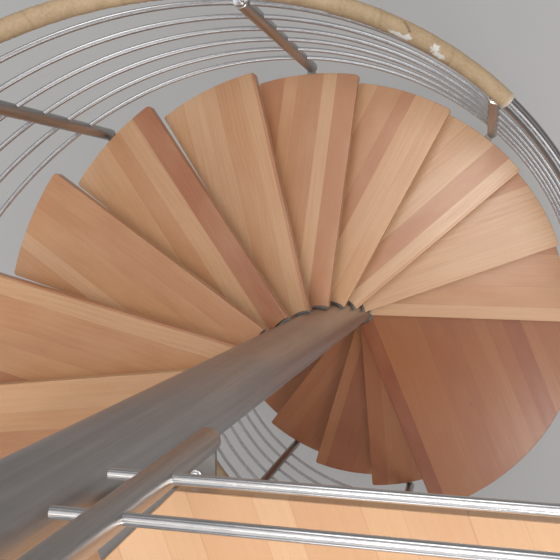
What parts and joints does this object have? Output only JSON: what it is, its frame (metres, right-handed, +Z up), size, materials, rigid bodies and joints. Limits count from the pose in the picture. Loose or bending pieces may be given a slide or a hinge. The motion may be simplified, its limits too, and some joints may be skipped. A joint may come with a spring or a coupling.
{
  "type": "spiral staircase",
  "caption": "Spiral stair with beech treads round a steel column, an exit platform, a quarter landing and a round stainless balustrade.",
  "frame": {"origin": "centre of the base plate's underside, on the column's axis", "axes": "+Z up along the column; +X towards the front outer corner of the first tread above the platform; the stair climbs anticlockwise seen from above"},
  "size_m": [2.168, 2.1116, 5.5082],
  "materials": {
    "steel": "brushed",
    "rail_steel": "satin",
    "beech": "lacquered"
  },
  "bodies": {
    "root": {"base_plate": "steel", "column": "steel", "column_cap": "steel", "handrail_landing": "steel", "handrail_lower": "steel", "handrail_pins": "rail_steel", "handrail_upper": "steel", "landing": "beech", "landing_frame": "steel", "platform": "beech", "platform_carriers": "steel", "posts_lower": "steel", "posts_upper": "steel", "rails_landing": "rail_steel", "rails_lower_1": "rail_steel", "rails_lower_2": "rail_steel", "rails_upper_1": "rail_steel", "rails_upper_2": "rail_steel", "rails_upper_3": "rail_steel", "rails_upper_4": "rail_steel", "rails_upper_5": "rail_steel", "rails_upper_6": "rail_steel", "rails_upper_7": "rail_steel", "tread_01": "beech", "tread_02": "beech", "tread_03": "beech", "tread_04": "beech", "tread_05": "beech", "tread_06": "beech", "tread_08": "beech", "tread_09": "beech", "tread_10": "beech", "tread_11": "beech", "tread_12": "beech", "tread_13": "beech", "tread_14": "beech", "tread_15": "beech", "tread_16": "beech", "tread_17": "beech", "tread_18": "beech", "tread_19": "beech", "tread_20": "beech", "tread_21": "beech", "tread_brackets": "steel", "tread_carriers": "steel"}
  },
  "joints": []
}
